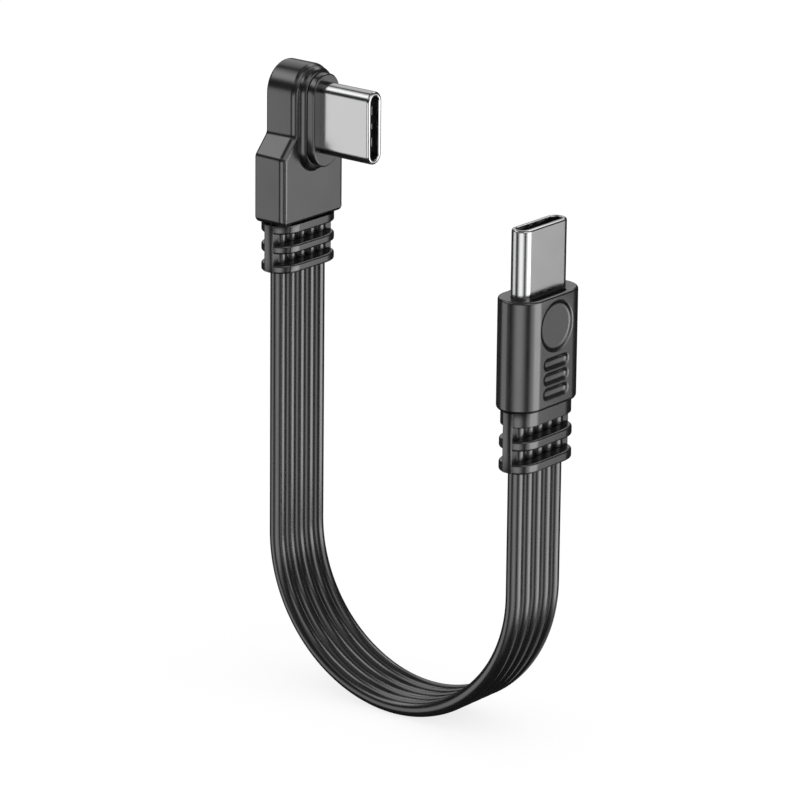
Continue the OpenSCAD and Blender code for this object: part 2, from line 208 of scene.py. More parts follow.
class ShellSizes(bpy.types.PropertyGroup):
    """Sizes of the plug shells and of the housings' walls."""

    wall: length(0.25, "Shell wall", "Wall of a plug shell")
    angled_reach: length(0.35, "Right-angle lip", "Reach of the right-angle plug's lip")
    straight_reach: length(0.2, "Straight lip", "Reach of the straight plug's lip")
    lip: length(0.28, "Lip rounding", "Radius of the rim around the mouth")
    lip_in: length(0.55, "Lip width", "Width of the turned-in rim")
    lip_thick: length(0.3, "Lip thickness", "Thickness of the turned-in rim")
    fit: length(0.03, "Clearance", "Clearance between pieces")
    housing_wall: length(0.75, "Housing wall", "Wall of the outer housings")


class Finishes(bpy.types.PropertyGroup):
    """Colours and gloss of the main materials."""

    plastic: finish((0.008, 0.008, 0.0083), "Housing plastic", "Colour of the moulded plastic")
    plastic_rough: share(0.24, "Plastic roughness", "Roughness of the moulded plastic")
    rubber: finish((0.008, 0.008, 0.0083), "Ribbon rubber", "Colour of the ribbon's jacket")
    rubber_rough: share(0.24, "Rubber roughness", "Roughness of the ribbon's jacket")
    steel: finish((0.485, 0.485, 0.49), "Shell steel", "Colour of the plated shells")
    steel_rough: share(0.2, "Steel roughness", "Roughness of the plated shells")
    gold: finish((0.75, 0.62, 0.36), "Contact gold", "Colour of the plated contacts")
    copper: finish((0.72, 0.38, 0.22), "Wire copper", "Colour of the bare wires")
    board: finish((0.02, 0.11, 0.045), "Board green", "Colour of the boards' solder mask")


class Studio(bpy.types.PropertyGroup):
    """Camera, floor and light."""

    azimuth: degrees(38.633, "Camera azimuth", "Camera's angle round the cable")
    elevation: degrees(17.691, "Camera elevation", "Camera's angle above the horizon")
    roll: degrees(-0.603, "Camera roll", "Camera's turn about its view")
    lens: FloatProperty(name="Focal length", description="Focal length in millimetres", default=229.5)
    eye: FloatVectorProperty(
        name="Camera", description="Camera's place", default=(0.34674, -0.42041, 0.14129), unit="LENGTH"
    )
    light: FloatProperty(name="Soft light", description="Brightness of the even light", default=1.0, min=0.0)
    floor: finish((0.22, 0.22, 0.22), "Floor colour", "Colour under the floor's glow")
    glow: share(0.8, "Floor glow", "Light of the floor itself")
    card: length(18.0, "Card radius", "Radius of the reflected card")
    card_x: height(31.0, "Card X", "Place of the card along X")
    card_y: height(24.0, "Card Y", "Place of the card along Y")
    card_glow: share(0.35, "Card glow", "Brightness of the card")


def settings(name):
    """One property group of the scene."""
    return getattr(bpy.context.scene, "cable_" + name)


# ---- outlines and meshes ----


def rounded_outline(corners, radii):
    """A closed outline, counterclockwise, with each corner rounded: (points, outward normals)."""
    points, normals = [], []
    count = len(corners)
    for i in range(count):
        corner = Vector(corners[i])
        into = (corner - Vector(corners[i - 1])).normalized()
        out = (Vector(corners[(i + 1) % count]) - corner).normalized()
        turn = math.atan2(into.x * out.y - into.y * out.x, into.dot(out))
        radius = radii[i]
        first = Vector((into.y, -into.x))
        start = corner - into * radius * math.tan(abs(turn) / 2)
        side = 1 if turn > 0 else -1
        centre = start - first * radius * side
        steps = max(2, round(QUARTER * abs(turn) / (math.pi / 2)))
        for k in range(steps + 1):
            angle = turn * k / steps
            normal = Matrix.Rotation(angle, 2) @ first
            points.append(centre + normal * radius * side)
            normals.append(normal)
    return points, normals


def stadium(wide, thick):
    """An outline with two full-round ends: thin along its first axis, long along its second."""
    r = thick / 2
    h = wide / 2
    return rounded_outline([(-r, -h), (r, -h), (r, h), (-r, h)], [r * FULL_ROUND] * 4)


def rounded_edge(radius):
    """(distance from the end, inset) pairs across a rounded edge, from the end face to the side."""
    angles = [math.pi / 2 * k / ROUND for k in range(ROUND + 1)]
    return [(radius * (1 - math.cos(a)), radius * (1 - math.sin(a))) for a in angles]


def rounded_ends(low, high, low_round=0.0, high_round=0.0):
    """(place, inset) pairs of a prism whose two rims are rounded."""
    ends = []
    for end, radius, way in ((low, low_round, 1), (high, high_round, -1)):
        curve = rounded_edge(radius) if radius > 0 else [(0.0, 0.0)]
        ends.append([(end + way * up, inset) for up, inset in curve])
    return ends[0] + ends[1][::-1]


def upright(middle_x):
    """Places an outline of (x, y) at a height."""
    return lambda p, level: Vector((middle_x + p[0], p[1], level))


def along_x(middle_z=0.0):
    """Places an outline of (y, z) at a place along X."""
    return lambda p, level: Vector((level, p[0], middle_z + p[1]))


def skinned(name, rings, loop=False):
    """An object with walls between rings of points, flat at its ends or closed on itself."""
    bm = bmesh.new()
    rings = [[bm.verts.new(point) for point in ring] for ring in rings]
    count = len(rings[0])
    for a, b in zip(rings, rings[1:] + (rings[:1] if loop else [])):
        for k in range(count):
            m = (k + 1) % count
            bm.faces.new((a[k], a[m], b[m], b[k]))
    if not loop:
        bm.faces.new(rings[0][::-1])
        bm.faces.new(rings[-1])
    return object_from(name, bm)


def lofted(name, outline, profile, place, loop=False):
    """A mesh object through insets of one outline."""
    rings = [[place(p - n * inset, level) for p, n in zip(*outline)] for level, inset in profile]
    return skinned(name, rings, loop)


def bar(name, wide, thick, low, high, place, low_round=0.0, high_round=0.0):
    """A prism with full-round ends."""
    return lofted(name, stadium(wide, thick), rounded_ends(low, high, low_round, high_round), place)


def rimmed(name, outline, low, high, low_round, high_round, place):
    """A prism whose rims are rounded by a radius that depends on the outline's normal."""
    columns = []
    for p, n in zip(*outline):
        profile = rounded_ends(low, high, low_round(n), high_round(n))
        columns.append([place(p - n * inset, level) for level, inset in profile])
    return skinned(name, zip(*columns))


def linked(name, data):
    """A new object in the scene."""
    made = bpy.data.objects.new(name, data)
    bpy.context.scene.collection.objects.link(made)
    return made


def object_from(name, bm):
    """An object from a bmesh, with doubles merged and normals outward."""
    bmesh.ops.remove_doubles(bm, verts=bm.verts, dist=1e-7)
    bmesh.ops.recalc_face_normals(bm, faces=bm.faces)
    mesh = bpy.data.meshes.new(name)
    bm.to_mesh(mesh)
    bm.free()
    return linked(name, mesh)


def settle(piece):
    """Turns a piece and its modifiers into a plain mesh."""
    graph = bpy.context.evaluated_depsgraph_get()
    mesh = bpy.data.meshes.new_from_object(piece.evaluated_get(graph), depsgraph=graph)
    piece.modifiers.clear()
    piece.data = mesh
    mesh.name = piece.name


def combine(piece, tool, operation="UNION"):
    """Joins a tool to a piece, or cuts it away, and removes the tool."""
    boolean = piece.modifiers.new("cut", "BOOLEAN")
    boolean.operation = operation
    boolean.solver = "EXACT"
    boolean.object = tool
    settle(piece)
    if not piece.data.polygons:
        raise RuntimeError(f"nothing is left of {piece.name}")
    bpy.data.objects.remove(tool)
    return piece


def cut(piece, *tools):
    """Cuts each tool away from a piece."""
    for tool in tools:
        combine(piece, tool, "DIFFERENCE")


def smooth(piece, soften=0.0):
    """Shades a piece smoothly, with its flats kept flat and its last sharp edges just broken."""
    piece.data.polygons.foreach_set("use_smooth", [True] * len(piece.data.polygons))
    if soften:
        bevel = piece.modifiers.new("broken edges", "BEVEL")
        bevel.width = soften
        bevel.segments = 2
        bevel.limit_method = "ANGLE"
        bevel.angle_limit = math.radians(32)
    weighted = piece.modifiers.new("flat faces", "WEIGHTED_NORMAL")
    weighted.keep_sharp = True
    weighted.weight = 80


def give(piece, finish_name, slot):
    """Gives a piece its material; its slot argument is not used."""
    piece.data.materials.clear()
    piece.data.materials.append(bpy.data.materials[finish_name])


def fit(piece, body, node, slot, soften=0.0, finish_name="moulded plastic"):
    """Finishes a rigid piece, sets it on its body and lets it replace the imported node."""
    smooth(piece, soften)
    give(piece, finish_name, slot)
    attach(piece, body)
    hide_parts(node)


# ---- materials ----


class Tree:
    """A short way to write a node tree."""

    def __init__(self, tree):
        self.tree = tree
        tree.nodes.clear()

    def add(self, kind, inputs=None, **values):
        """Adds a node, sets its properties, and links or sets its inputs by name or number."""
        node = self.tree.nodes.new(kind)
        for key, value in values.items():
            setattr(node, key, value)
        for key, value in (inputs or {}).items():
            if isinstance(value, bpy.types.NodeSocket):
                self.link(value, node.inputs[key])
            else:
                node.inputs[key].default_value = value
        return node

    def first(self, kind, inputs=None, **values):
        """A new node's first output."""
        return self.add(kind, inputs, **values).outputs[0]

    def link(self, start, end):
        self.tree.links.new(start, end)

    def math(self, operation, a, b=0.0, c=0.0):
        """A math node's result."""
        return self.first("ShaderNodeMath", {0: a, 1: b, 2: c}, operation=operation)

    def choose(self, pick, no, yes):
        """One of two numbers."""
        return self.first("ShaderNodeMix", {0: pick, 2: no, 3: yes}, data_type="FLOAT")

    def between(self, value, low, high, start=0.0, end=1.0, kind="LINEAR"):
        """A value mapped from one range to another."""
        node = self.add(
            "ShaderNodeMapRange",
            {"Value": value, "From Min": low, "From Max": high, "To Min": start, "To Max": end},
            interpolation_type=kind,
        )
        return node.outputs["Result"]


def new_material(name, **sockets):
    """A material with one Principled shader: (tree, shader)."""
    material = bpy.data.materials.new(name)
    material.use_nodes = True
    tree = Tree(material.node_tree)
    shader = tree.add("ShaderNodeBsdfPrincipled", {k.replace("_", " "): v for k, v in sockets.items()})
    tree.add("ShaderNodeOutputMaterial", {"Surface": shader.outputs[0]})
    return tree, shader


def object_noise(tree, scale, detail=3.0):
    """Noise on the object's own coordinates, with scale in cells per metre."""
    place = tree.add("ShaderNodeTexCoord").outputs["Object"]
    noise = tree.add("ShaderNodeTexNoise", {"Vector": place, "Scale": scale, "Detail": detail})
    return noise.outputs["Fac"]


def tint(tree, shader, colour, factor, low=0.9, high=1.1):
    """Colours a shader with small variations of one colour."""
    dark = [*(c * low for c in colour), 1.0]
    light = [*(min(1.0, c * high) for c in colour), 1.0]
    mix = tree.add("ShaderNodeMix", {0: factor, 6: dark, 7: light}, data_type="RGBA")
    tree.link(mix.outputs[2], shader.inputs["Base Color"])


def roughen(tree, shader, factor, low, high):
    tree.link(tree.between(factor, 0.3, 0.7, low, high), shader.inputs["Roughness"])


def bump(tree, shader, factor, depth, strength=0.5):
    """Adds relief of a depth in metres."""
    node = tree.add("ShaderNodeBump", {"Height": factor, "Distance": depth, "Strength": strength})
    tree.link(node.outputs[0], shader.inputs["Normal"])


def mottled(name, colour, scale, tints, rough, detail=3.0, **sockets):
    """A material with cloudy variations of one colour and its roughness: (tree, shader, cloud)."""
    tree, shader = new_material(name, **sockets)
    cloud = object_noise(tree, scale, detail)
    tint(tree, shader, colour, cloud, *tints)
    roughen(tree, shader, cloud, *rough)
    return tree, shader, cloud


def make_materials():
    """All finishes of the cable; noise scales are in cells per metre."""
    f = settings("finishes")
    dense = {"Specular_IOR_Level": 1.0, "IOR": 1.54}

    rough = f.plastic_rough * 0.92, f.plastic_rough * 1.12
    tree, shader, _ = mottled("moulded plastic", f.plastic, 260.0, (0.9, 1.1), rough, **dense)
    bump(tree, shader, object_noise(tree, 9000.0), 0.0008 * MM)

    rough = f.rubber_rough * 0.9, f.rubber_rough * 1.12
    tree, shader, _ = mottled("ribbon rubber", f.rubber, 300.0, (0.9, 1.1), rough, **dense)
    along = tree.add("ShaderNodeAttribute", attribute_name="along").outputs["Fac"]
    around = tree.add("ShaderNodeAttribute", attribute_name="around").outputs["Fac"]
    place = tree.first("ShaderNodeCombineXYZ", {"X": around, "Y": along})
    stretched = tree.first("ShaderNodeMapping", {"Vector": place, "Scale": (260.0, 60.0, 1.0)})
    streaks = tree.add("ShaderNodeTexNoise", {"Vector": stretched, "Scale": 1.0, "Detail": 2.0})
    bump(tree, shader, streaks.outputs["Fac"], 0.0012 * MM)

    rough = f.steel_rough * 0.95, f.steel_rough * 1.06
    tree, shader, _ = mottled("plated steel", f.steel, 420.0, (0.99, 1.01), rough, Metallic=1.0)
    bump(tree, shader, object_noise(tree, 5200.0, 2.0), 0.0002 * MM, 0.3)

    # the springs at the mouth are painted nearly black as shade inside the mouth, with lighter steel in their
    # middle and at their two side pads
    for name, axis in (("spring steel", 2), ("spring steel across", 1)):
        tree, shader = new_material(name, Metallic=1.0, Roughness=0.35)
        place = tree.add("ShaderNodeTexCoord").outputs["Object"]
        away = tree.math("ABSOLUTE", tree.add("ShaderNodeSeparateXYZ", {0: place}).outputs[axis])
        middle = tree.math("COMPARE", away, 0.0, 0.3 * MM)
        side = tree.math("COMPARE", away, 1.78 * MM, 0.48 * MM)
        tint(tree, shader, (0.3, 0.3, 0.305), tree.math("ADD", middle, side), 0.1, 1.9)

    mottled("contact gold", f.gold, 1800.0, (0.85, 1.08), (0.18, 0.32), Metallic=1.0)
    mottled("bare copper", f.copper, 1400.0, (0.82, 1.1), (0.22, 0.4), Metallic=1.0)
    # the carrier's own black plastic, darkened further as painted shade for the inside of the mouths
    carrier_black_and_shade = 0.003, 0.003, 0.0032
    mottled("carrier plastic", carrier_black_and_shade, 900.0, (0.8, 1.2), (0.45, 0.6), Specular_IOR_Level=0.12)

    tree, shader = new_material("solder mask", Specular_IOR_Level=0.6)
    place = tree.add("ShaderNodeTexCoord").outputs["Object"]
    cells = tree.add("ShaderNodeTexVoronoi", {"Vector": place, "Scale": 1500.0}, distance="MANHATTAN")
    tracks = tree.between(cells.outputs["Distance"], 0.35, 0.5, kind="SMOOTHSTEP")
    tint(tree, shader, f.board, tracks, 0.7, 1.35)
    roughen(tree, shader, tracks, 0.25, 0.4)
    bump(tree, shader, tracks, 0.01 * MM, 0.4)

    tree, shader, speck = mottled(
        "chip resin", (0.014, 0.014, 0.015), 12000.0, (0.7, 1.4), (0.5, 0.65), 4.0, Specular_IOR_Level=0.4
    )
    bump(tree, shader, speck, 0.004 * MM)

    tree, shader, cloud = mottled(
        "solder tin", (0.62, 0.62, 0.64), 2200.0, (0.8, 1.1), (0.22, 0.42), Metallic=1.0
    )
    bump(tree, shader, cloud, 0.01 * MM)


# ---- ribbon and wires ----


def bend_place():
    """The bend's middle along X, and the radius of the ribbon's centreline in it."""
    low, high = JACKET[0].x, JACKET[1].x
    return (low + high) / 2, (high - low - settings("ribbon").lobe) / 2


def route_points(start, end):
    """The U route's points from a height on the first leg to a height on the second."""
    step = 1.5 * MM
    low = settings("ribbon").bend
    middle, radius = bend_place()
    down, up = round((start - low) / step), round((end - low) / step)
    points = [Vector((middle - radius, 0, start + (low - start) * k / down)) for k in range(down)]
    for k in range(BEND + 1):
        a = math.pi * (1 + k / BEND)
        points.append(Vector((middle + radius * math.cos(a), 0, low + radius * math.sin(a))))
    return points + [Vector((middle + radius, 0, low + (end - low) * k / up)) for k in range(1, up + 1)]


def stored(t, geometry, name, value):
    """A geometry whose points keep a value under a name."""
    inputs = {"Geometry": geometry, "Name": name, "Value": value}
    return t.first("GeometryNodeStoreNamedAttribute", inputs, data_type="FLOAT", domain="POINT")


def sweep_tree():
    """Sweeps a row of round lobes along a line, as one closed skin with webs between the lobes."""
    group = bpy.data.node_groups.new("Lobed ribbon", "GeometryNodeTree")
    made = group.interface
    for name, kind in (
        ("Geometry", "Geometry"),
        ("Lobes", "Int"),
        ("Lobe diameter", "Float"),
        ("Lobe pitch", "Float"),
        ("Sides", "Int"),
        ("Across", "Float"),
        ("Material", "Material"),
    ):
        made.new_socket(name, in_out="INPUT", socket_type="NodeSocket" + kind)
    made.new_socket("Geometry", in_out="OUTPUT", socket_type="NodeSocketGeometry")
    t = Tree(group)
    given = t.add("NodeGroupInput").outputs
    lobes, sides, pitch = given["Lobes"], given["Sides"], given["Lobe pitch"]
    half = t.math("DIVIDE", given["Lobe diameter"], 2.0)
    one_side = t.math("MULTIPLY", lobes, sides)
    total = t.math("MULTIPLY", one_side, 2.0)
    index = t.first("GeometryNodeInputIndex")
    # the outline's first half runs up the front, and its second half comes back down the rear
    rear = t.math("GREATER_THAN", index, t.math("SUBTRACT", one_side, 0.5))
    back = t.math("SUBTRACT", t.math("SUBTRACT", total, 1.0), index)
    pick = t.choose(rear, index, back)
    lobe = t.math("FLOOR", t.math("DIVIDE", t.math("ADD", pick, 0.01), sides))
    step = t.math("SUBTRACT", pick, t.math("MULTIPLY", lobe, sides))
    part = t.math("DIVIDE", t.math("ADD", step, 0.5), sides)
    # a lobe's arc ends in the valley to its neighbour, or half way round on the ribbon's edge
    valley = t.math("ARCSINE", t.math("DIVIDE", t.math("DIVIDE", pitch, 2.0), half))
    low = t.choose(t.math("LESS_THAN", lobe, 0.5), valley, math.pi / 2)
    high = t.choose(t.math("GREATER_THAN", lobe, t.math("SUBTRACT", lobes, 1.5)), valley, math.pi / 2)
    turn = t.math("SUBTRACT", t.math("MULTIPLY", part, t.math("ADD", low, high)), low)
    middle = t.math("DIVIDE", t.math("SUBTRACT", lobes, 1.0), 2.0)
    centre = t.math("MULTIPLY", t.math("SUBTRACT", lobe, middle), pitch)
    y = t.math("ADD", t.math("ADD", centre, given["Across"]), t.math("MULTIPLY", half, t.math("SINE", turn)))
    front = t.math("SUBTRACT", 1.0, t.math("MULTIPLY", rear, 2.0))
    x = t.math("MULTIPLY", t.math("MULTIPLY", half, t.math("COSINE", turn)), front)
    circle = t.first("GeometryNodeCurvePrimitiveCircle", {"Resolution": total, "Radius": 1.0})
    spot = t.first("ShaderNodeCombineXYZ", {"X": y, "Y": x})
    profile = t.first("GeometryNodeSetPosition", {"Geometry": circle, "Position": spot})
    profile = stored(t, profile, "around", y)
    line = t.first("GeometryNodeMeshToCurve", {"Mesh": given["Geometry"]})
    line = t.first("GeometryNodeSetCurveNormal", {"Curve": line, "Normal": (0.0, 1.0, 0.0)}, mode="FREE")
    line = stored(t, line, "along", t.add("GeometryNodeSplineParameter").outputs["Length"])
    skin = t.first("GeometryNodeCurveToMesh", {"Curve": line, "Profile Curve": profile, "Fill Caps": True})
    skin = t.first("GeometryNodeSetShadeSmooth", {"Geometry": skin})
    skin = t.first("GeometryNodeRealizeInstances", {"Geometry": skin})
    skin = t.first("GeometryNodeSetMaterial", {"Geometry": skin, "Material": given["Material"]})
    t.add("NodeGroupOutput", {0: skin})
    return group


def swept(name, points, material, inputs):
    """A plain mesh swept along points by the lobed ribbon's tree."""
    line = bpy.data.meshes.new(name)
    line.from_pydata(points, [(i, i + 1) for i in range(len(points) - 1)], [])
    piece = linked(name, line)
    group = bpy.data.node_groups.get("Lobed ribbon") or sweep_tree()
    sweep = piece.modifiers.new("sweep", "NODES")
    sweep.node_group = group
    values = {"Material": bpy.data.materials[material], **inputs}
    for item in group.interface.items_tree:
        if item.in_out == "INPUT" and item.name in values:
            sweep[item.identifier] = values[item.name]
    settle(piece)
    bm = bmesh.new()
    bm.from_mesh(piece.data)
    bmesh.ops.recalc_face_normals(bm, faces=bm.faces)
    bm.to_mesh(piece.data)
    bm.free()
    return piece


def bend_with_joint(piece):
    """Bakes a piece's place into its mesh."""
    middle, radius = bend_place()
    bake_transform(piece)


# ---- housings ----


def block_outline(inset=0.0):
    """The right-angle housing seen along X, drawn in by an inset, with z from the block's foot up."""
    a = settings("angled")
    half = BLOCK[1].y - inset
    crown = a.crown - inset
    foot = BLOCK[0].z + inset
    top = BLOCK[1].z - inset
    low, high = a.shoulder_low, a.shoulder_high
    corners = [(-half, foot), (half, foot), (half, low), (crown, high), (crown, top), (-crown, top),
               (-crown, high), (-half, low)]
    bend = a.shoulder_round
    radii = [a.corner, a.corner, bend, bend, crown * FULL_ROUND, crown * FULL_ROUND, bend, bend]
    return rounded_outline(corners, radii)


def collar(name):
    """The collar's solid, with a fillet at its foot that stays inside the block's face."""
    a = settings("angled")
    crown_z = BLOCK[1].z - a.crown
    place = along_x(-a.drop)
    front = BLOCK[1].x
    sink = 0.04 * MM  # how far the fillet's thin edge dips into the face
    least = 0.06 * MM
    columns = []
    for p, n in zip(*stadium(a.collar_h, a.collar_w)):
        room = a.crown - math.hypot(p.x, max(0.0, p.y - a.drop - crown_z)) - a.edge
        foot = max(least, min(a.collar_foot, room))
        column = [place(p + n * foot, a.face - a.edge)]
        column += [place(p + n * out, a.face - sink + up) for up, out in rounded_edge(foot)]
        column += [place(p - n * inset, front - down) for inset, down in rounded_edge(a.collar_edge)]
        columns.append(column)
    return skinned(name, zip(*columns))


def root_hole(x, foot):
    """The hole in a housing's lower wall for the strain relief's root."""
    r, s = settings("relief"), settings("shells")
    grow = 2 * (r.root_wall + s.fit)
    top = foot + s.housing_wall + s.fit
    return bar("root hole", r.tunnel_w + grow, r.tunnel_t + grow, foot - OVER, top, upright(x))


def mark_profile():
    """(level, inset) pairs of a shallow recess with soft edges, from its floor up."""
    p = settings("straight")
    r = p.mark_round
    wide = 2 * r * math.sin(p.mark_slope)
    deep = 2 * r * (1 - math.cos(p.mark_slope))
    angles = [p.mark_slope * k / ROUND for k in range(ROUND + 1)]
    steps = [(-deep + r * (1 - math.cos(a)), wide - r * math.sin(a)) for a in angles]
    steps += [(-r * (1 - math.cos(a)), r * math.sin(a)) for a in angles[-2:0:-1]]
    return steps + [(OVER, steps[-1][1])]


def mark_cutter(name, wide, high, face, middle):
    """The solid that presses one mark into the straight plug's front face."""
    flat = [[Vector((v.y, -v.x)) for v in row] for row in stadium(wide, high)]
    profile = [(face + level, inset) for level, inset in mark_profile()]
    return lofted(name, flat, profile, along_x(middle))


def ring_outline(inset=0.0):
    """A ring seen from above: round ends that run gently into its two faces."""
    r = settings("relief")
    half, end = r.thick / 2 - inset, r.end - inset
    slope = half / math.sin(r.lean)
    tip = r.wide / 2 - inset - end + end / math.sin(r.lean)
    turn = tip - slope * math.cos(r.lean)
    # just short of the full radius, so that a little of each straight is left
    gentle = 0.98 * (slope - end / math.tan(r.lean)) / math.tan(r.lean / 2)
    corners = [(-half, -turn), (0, -tip), (half, -turn), (half, turn), (0, tip), (-half, turn)]
    return rounded_outline(corners, [gentle, end, gentle, gentle, end, gentle])


def rail_outline(radius):
    """A rail seen from above, with its outer face on the rings' round end of a radius."""
    r = settings("relief")
    half, edge = r.rail / 2, r.rail_edge
    middle = Vector((0, r.wide / 2 - r.end))
    corner = Vector((half - edge, math.sqrt((radius - edge) ** 2 - (half - edge) ** 2)))
    turn = math.atan2(corner.y, corner.x)
    points = []
    for k in range(ROUND + 1):
        a = turn * k / ROUND
        points.append(middle + corner + edge * Vector((math.cos(a), math.sin(a))))
    for k in range(1, QUARTER):
        a = turn + (math.pi / 2 - turn) * k / QUARTER
        points.append(middle + radius * Vector((math.cos(a), math.sin(a))))
    back = r.tunnel_w / 2 - r.tunnel_t / 4
    left = [Vector((-p.x, p.y)) for p in reversed(points)]
    return [Vector((half, back)), *points, middle + Vector((0, radius)), *left, Vector((-half, back))]


def relief(side, x, rings, neck, root):
    """A ladder of rings, given by (bottom, top), on two rails around the ribbon."""
    r = settings("relief")
    place = upright(x)
    bottom, top = rings[0][0], (neck or rings[-1])[1]
    ladder = None
    for low, high in rings:
        ends = rounded_ends(low, high, r.edge, 0.0 if high == top else r.edge)
        ring = lofted("ring", ring_outline(), ends, place)
        ladder = combine(ladder, ring) if ladder else ring
    if neck:
        combine(ladder, lofted("neck", ring_outline(r.neck_step), rounded_ends(*neck, r.edge / 2), place))
    for way in (-1, 1):
        points = [way * p for p in rail_outline(r.end + r.rail_proud)]
        outline = points, [Vector((0, 0))] * len(points)
        ends = rounded_ends(bottom + r.edge / 2, top - r.edge / 9)  # just inside the ladder's rims
        combine(ladder, lofted("rail", outline, ends, place))
    grow = 2 * r.root_wall
    combine(ladder, bar("root", r.tunnel_w + grow, r.tunnel_t + grow, top - r.edge, root, place))
    cut(ladder, bar("tunnel", r.tunnel_w, r.tunnel_t, bottom - OVER, root + OVER, place))
    ladder.name = side + "_relief_ladder"
    fit(ladder, side + "_end", side + "_strain_relief", "relief_plastic", 0.04 * MM)


class CABLE_OT_ribbon(bpy.types.Operator):
    """Make the ribbon's jacket"""

    bl_idname = "cable.ribbon"
    bl_label = "Ribbon jacket"

    def execute(self, context):
        r = settings("ribbon")
        points = route_points(*RIBBON_ENDS)
        inputs = {"Lobes": r.lobes, "Lobe diameter": r.lobe, "Lobe pitch": r.pitch, "Sides": 14}
        jacket = swept("ribbon_skin", points, "ribbon rubber", inputs)
        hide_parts("ribbon_jacket")
        bend_with_joint(jacket)
        return {"FINISHED"}


class CABLE_OT_wires(bpy.types.Operator):
    """Make the five copper cores inside the jacket"""

    bl_idname = "cable.wires"
    bl_label = "Wires"

    def execute(self, context):
        r = settings("ribbon")
        names = ["wire_ground", "wire_power", "wire_data_minus", "wire_data_plus", "wire_channel"]
        points = route_points(*(end + r.wire_end for end in RIBBON_ENDS))
        for i, node in enumerate(names):
            across = (i - (len(names) - 1) / 2) * r.pitch
            inputs = {"Lobes": 1, "Lobe diameter": r.core, "Lobe pitch": r.core / 2, "Sides": 8}
            wire = swept(node + "_strand", points, "bare copper", {"Across": across, **inputs})
            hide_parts(node)
            bend_with_joint(wire)
        return {"FINISHED"}


class CABLE_OT_angled_housing(bpy.types.Operator):
    """Make the right-angle plug's outer housing with its collar"""

    bl_idname = "cable.angled_housing"
    bl_label = "Right-angle housing"

    def execute(self, context):
        a, s = settings("angled"), settings("shells")
        back = BLOCK[0].x

        def front_rim(n):
            return a.edge + (a.foot_edge - a.edge) * max(0.0, -n.y)

        def back_rim(n):
            return a.back_edge + (a.foot_edge - a.back_edge) * max(0.0, -n.y)

        housing = rimmed("angled_body", block_outline(), back, a.face, back_rim, front_rim, along_x())
        combine(housing, collar("collar"))
        wall = s.housing_wall
        room = lofted("room", block_outline(wall), rounded_ends(back + wall, a.face - wall), along_x())
        neck = bar("neck", a.neck_h, a.neck_w, (back + a.face) / 2, 0.0, along_x(-a.drop))
        middle = (ANGLED_RELIEF[0].x + ANGLED_RELIEF[1].x) / 2
        cut(housing, room, neck, root_hole(middle, BLOCK[0].z))
        fit(housing, "angled_end", "angled_housing", "housing_plastic", 0.05 * MM)
        return {"FINISHED"}


class CABLE_OT_moulded_cores(bpy.types.Operator):
    """Make the inner mouldings: the right-angle plug's shows as the flange in front of its collar"""

    bl_idname = "cable.moulded_cores"
    bl_label = "Moulded cores and flange"

    def execute(self, context):
        a, s = settings("angled"), settings("shells")
        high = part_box("angled_inner_mould")[1]
        core = linked("angled_flange_core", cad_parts["angled_inner_mould"].data.copy())
        face, seat = high.x, BLOCK[1].x - 0.1 * MM
        y, z = high.y * 1.2, high.z * 1.2  # the cut for the flange reaches past the moulding on all sides
        square = rounded_outline([(-y, -z), (y, -z), (y, z), (-y, z)], [0] * 4)
        cut(core, lofted("front", square, rounded_ends(seat, face + OVER), along_x()))
        drop = along_x(-a.drop)
        edge, gap = a.flange_edge, s.fit / 5
        flange = bar("flange", a.flange_h, a.flange_w, face - a.flange_t, face, drop, edge / 4, edge)
        combine(flange, bar("neck", a.neck_h - s.fit, a.neck_w - s.fit, seat - 0.3 * MM, face - edge, drop))
        wide, thick = 2 * ANGLED_SHELL[1].z + gap, 2 * ANGLED_SHELL[1].y + gap
        cut(flange, bar("bore", wide, thick, seat - OVER, face + OVER, along_x()))
        combine(core, flange)
        fit(core, "angled_end", "angled_inner_mould", "mould_plastic", 0.03 * MM)
        give(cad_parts["straight_inner_mould"], "moulded plastic", "mould_plastic")
        return {"FINISHED"}


class CABLE_OT_straight_housing(bpy.types.Operator):
    """Make the straight plug's housing with its trench, round recess and grip recesses"""

    bl_idname = "cable.straight_housing"
    bl_label = "Straight housing"

    def execute(self, context):
        p, s = settings("straight"), settings("shells")
        low, high = HOUSING
        x, top = (low.x + high.x) / 2, high.z
        wide, thick = high.y - low.y, high.x - low.x
        place = upright(x)
        housing = bar("straight_body", wide, thick, low.z, top, place, p.foot_edge, p.top_edge)
        wall = s.housing_wall
        shell_w = STRAIGHT_SHELL[1].y - STRAIGHT_SHELL[0].y
        shell_t = STRAIGHT_SHELL[1].x - STRAIGHT_SHELL[0].x
        room_top = top - wall - p.trench_deep
        near = shell_t / 2 + s.fit + p.trench_wall
        far = near + p.trench_w
        start, end = -p.trench_l / 2 - p.trench_shift, p.trench_l / 2 - p.trench_shift
        corners = [(near, start), (far, start), (far, end), (near, end)]
        tight = p.trench_wall / 2
        trench = rounded_outline(corners, [tight, p.trench_end, p.trench_close, tight])
        cut(
            housing,
            bar("room", wide - 2 * wall, thick - 2 * wall, low.z + wall, room_top, place),
            bar("bore", shell_w + 2 * s.fit, shell_t + 2 * s.fit, room_top - OVER, top + OVER, place),
            lofted("trench", trench, rounded_ends(top - p.trench_deep, top + OVER), place),
            root_hole(x, low.z),
            mark_cutter("round recess", p.ring, p.ring, high.x, top - p.ring_down),
        )
        for i in range(p.grips):
            middle = top - p.grip_down - i * p.grip_pitch
            cut(housing, mark_cutter("grip", p.grip_l, p.grip_h, high.x, middle))
        fit(housing, "straight_end", "straight_housing", "housing_plastic", 0.03 * MM)
        return {"FINISHED"}


